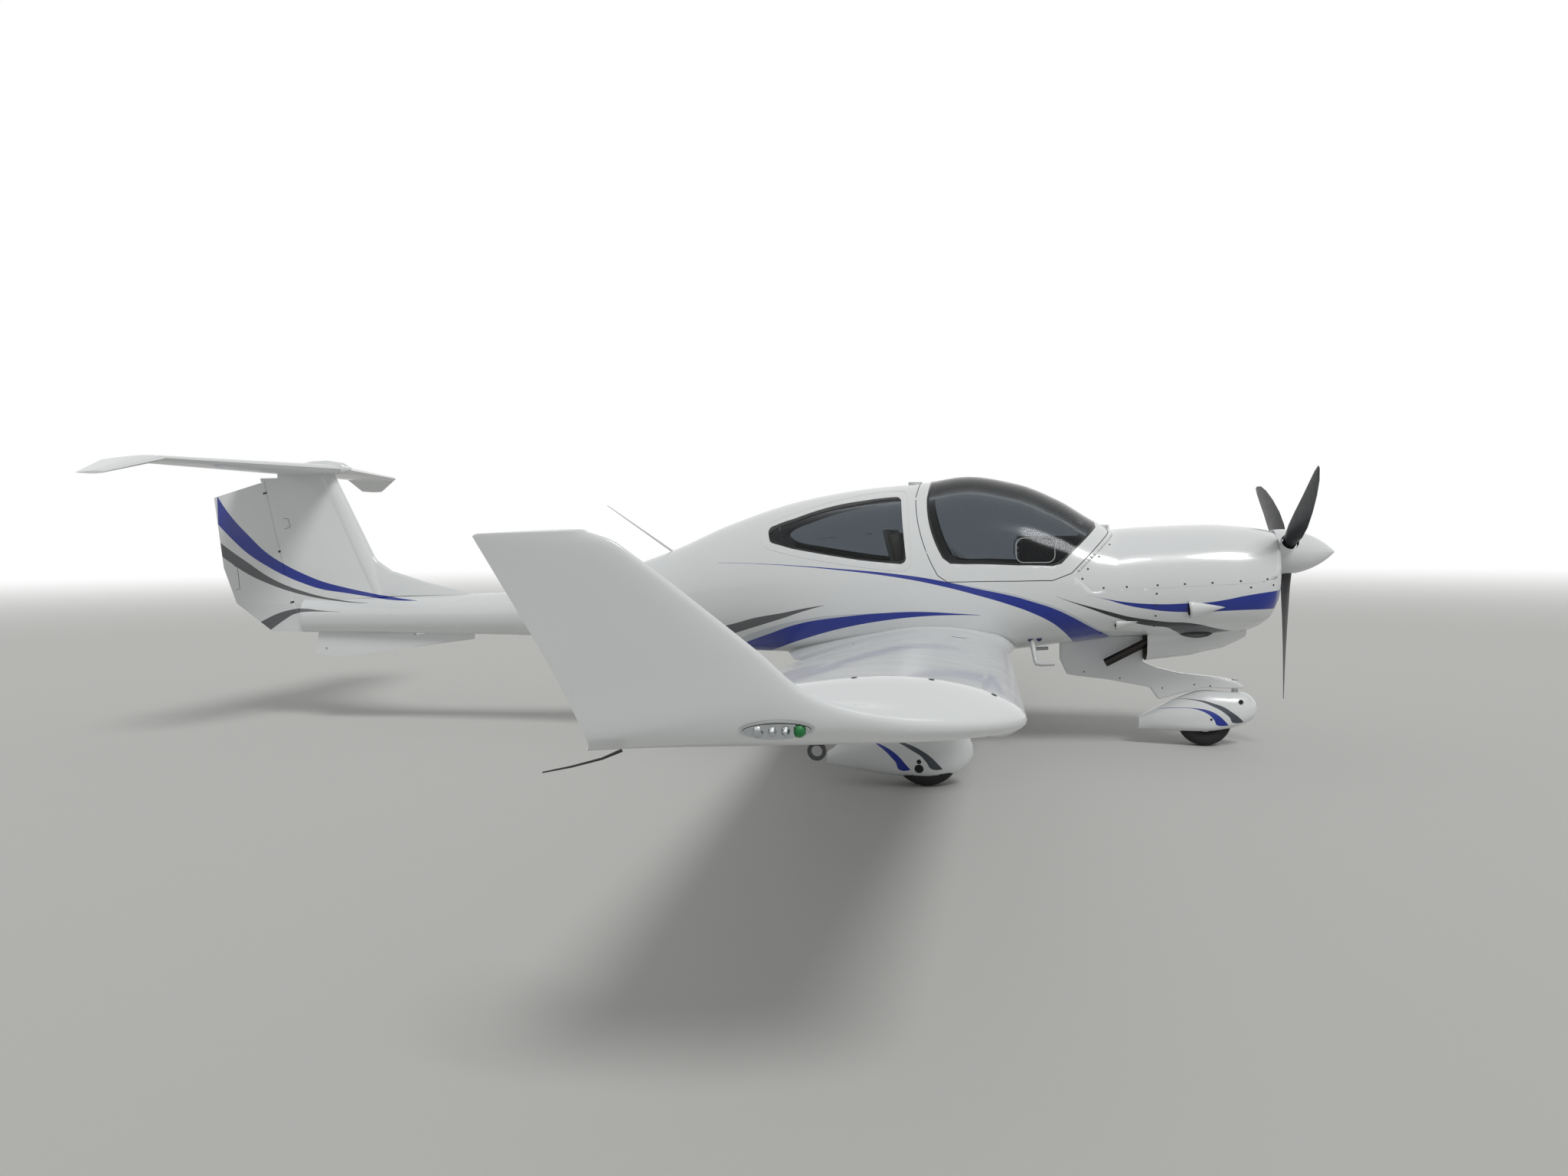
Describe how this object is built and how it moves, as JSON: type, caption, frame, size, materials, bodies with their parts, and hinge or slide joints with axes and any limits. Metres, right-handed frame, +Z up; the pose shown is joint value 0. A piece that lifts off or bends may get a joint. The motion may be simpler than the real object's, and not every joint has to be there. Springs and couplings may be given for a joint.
{
  "type": "light aircraft",
  "caption": "Low-wing single-engine light aircraft with T-tail, upturned wing tips, tip-up canopy, rear side door, spatted tricycle gear and moving controls.",
  "frame": {"origin": "on the ground under the middle of the length and span", "axes": "+X to the nose, +Y to the left wing tip, +Z up"},
  "size_m": [8.059, 11.6306, 1.9939],
  "materials": {
    "white_gelcoat": "glossy white gelcoat over composite skins",
    "smoked_acrylic": "clear smoke-tinted acrylic with a dark bonded edge band",
    "engine_metal": "cast and machined metal",
    "exhaust_steel": "heat-darkened steel tube",
    "blade_composite": "satin dark grey composite blade",
    "hub_aluminium": "machined aluminium",
    "gear_steel": "white enamel on spring steel",
    "tyre_rubber": "black rubber with circumferential grooves",
    "wheel_alloy": "cast aluminium wheel",
    "ring_steel": "dark plated steel",
    "cabin_trim": "textured grey trim",
    "panel_black": "matt black panel and anti-glare cover",
    "stick_black": "black enamel and grip",
    "seat_shell": "moulded seat shell",
    "seat_leather": "pale beige leather with stitched seams",
    "aerial_white": "satin white"
  },
  "bodies": {
    "airframe": {"fuselage_shell": "white_gelcoat", "upper_cowling": "white_gelcoat", "lower_cowling": "white_gelcoat", "rear_window": "smoked_acrylic", "engine_block": "engine_metal", "exhaust_pipe": "exhaust_steel", "wing_fillets": "white_gelcoat", "wing_left": "white_gelcoat", "wing_right": "white_gelcoat", "winglet_left": "white_gelcoat", "winglet_right": "white_gelcoat", "tie_down_rings": "ring_steel", "tailplane": "white_gelcoat", "vertical_fin": "white_gelcoat", "tailplane_fairing": "white_gelcoat", "ventral_fin": "white_gelcoat", "main_gear_legs": "gear_steel", "main_spats": "white_gelcoat", "nose_leg": "gear_steel", "nose_leg_fairing": "white_gelcoat", "cabin_floor": "cabin_trim", "instrument_panel": "panel_black", "control_sticks": "stick_black", "front_seat_shells": "seat_shell", "front_seat_cushions": "seat_leather", "front_back_cushions": "seat_leather", "rear_seat_cushions": "seat_leather", "rear_back_cushions": "seat_leather", "rear_seat_back": "cabin_trim", "boarding_steps": "gear_steel", "aerials": "aerial_white"},
    "propeller": {"spinner": "white_gelcoat", "propeller_hub": "hub_aluminium", "propeller_blades": "blade_composite"},
    "nose_castor": {"nose_fork": "gear_steel", "nose_spat": "white_gelcoat"},
    "nose_wheel": {"nose_tyre": "tyre_rubber", "nose_rim": "wheel_alloy"},
    "main_wheel_left": {"main_tyre_left": "tyre_rubber", "main_rim_left": "wheel_alloy"},
    "main_wheel_right": {"main_tyre_right": "tyre_rubber", "main_rim_right": "wheel_alloy"},
    "aileron_left": {"aileron_left": "white_gelcoat"},
    "aileron_right": {"aileron_right": "white_gelcoat"},
    "flap_left": {"flap_left": "white_gelcoat"},
    "flap_right": {"flap_right": "white_gelcoat"},
    "elevator": {"elevator": "white_gelcoat"},
    "rudder": {"rudder": "white_gelcoat"},
    "canopy": {"canopy_frame": "white_gelcoat", "canopy_glass": "smoked_acrylic"},
    "rear_door": {"rear_door_panel": "white_gelcoat", "rear_door_window": "smoked_acrylic"}
  },
  "joints": [
    {"name": "propeller_spin", "type": "hinge", "parent": "airframe", "child": "propeller", "pos_m": [3.732, 0, 1.271], "axis": [1, 0, 0], "continuous": true},
    {"name": "nose_castor_swivel", "type": "hinge", "parent": "airframe", "child": "nose_castor", "pos_m": [3.43, 0, 0.326], "axis": [0, 0, 1], "range_deg": [-30, 30]},
    {"name": "nose_wheel_spin", "type": "hinge", "parent": "nose_castor", "child": "nose_wheel", "pos_m": [3.24, 0, 0.172], "axis": [0, 1, 0], "continuous": true},
    {"name": "main_wheel_left_spin", "type": "hinge", "parent": "airframe", "child": "main_wheel_left", "pos_m": [1.515, 1.485, 0.193], "axis": [0, 1, 0], "continuous": true},
    {"name": "main_wheel_right_spin", "type": "hinge", "parent": "airframe", "child": "main_wheel_right", "pos_m": [1.515, -1.485, 0.193], "axis": [0, 1, 0], "continuous": true},
    {"name": "aileron_left_hinge", "type": "hinge", "parent": "airframe", "child": "aileron_left", "pos_m": [1.19255, 3.505, 0.86947], "axis": [0.0593, 0.9956, 0.0724], "range_deg": [-15, 25]},
    {"name": "aileron_right_hinge", "type": "hinge", "parent": "airframe", "child": "aileron_right", "pos_m": [1.19255, -3.505, 0.86947], "axis": [-0.0593, 0.9956, -0.0724], "range_deg": [-15, 25]},
    {"name": "flap_left_hinge", "type": "hinge", "parent": "airframe", "child": "flap_left", "pos_m": [1.01079, 0.82, 0.67422], "axis": [-0.0674, -0.9951, -0.0724], "range_deg": [0, 42]},
    {"name": "flap_right_hinge", "type": "hinge", "parent": "airframe", "child": "flap_right", "pos_m": [1.01079, -0.82, 0.67422], "axis": [0.0674, -0.9951, 0.0724], "range_deg": [0, 42]},
    {"name": "elevator_hinge", "type": "hinge", "parent": "airframe", "child": "elevator", "pos_m": [-3.515, 0, 1.925], "axis": [0, 1, 0], "range_deg": [-13, 15.5]},
    {"name": "rudder_hinge", "type": "hinge", "parent": "airframe", "child": "rudder", "pos_m": [-3.308, 0, 0.728], "axis": [-0.2423, 0, 0.9702], "range_deg": [-27, 27]},
    {"name": "canopy_hinge", "type": "hinge", "parent": "airframe", "child": "canopy", "pos_m": [2.61, 0, 1.449], "axis": [0, 1, 0], "range_deg": [0, 55]},
    {"name": "rear_door_hinge", "type": "hinge", "parent": "airframe", "child": "rear_door", "pos_m": [0.8, 0.211, 1.6465], "axis": [0.9876, -0.0286, 0.1546], "range_deg": [0, 75]}
  ],
  "couplings": [
    {"joint": "flap_right_hinge", "follows": "flap_left_hinge", "ratio": 1}
  ]
}
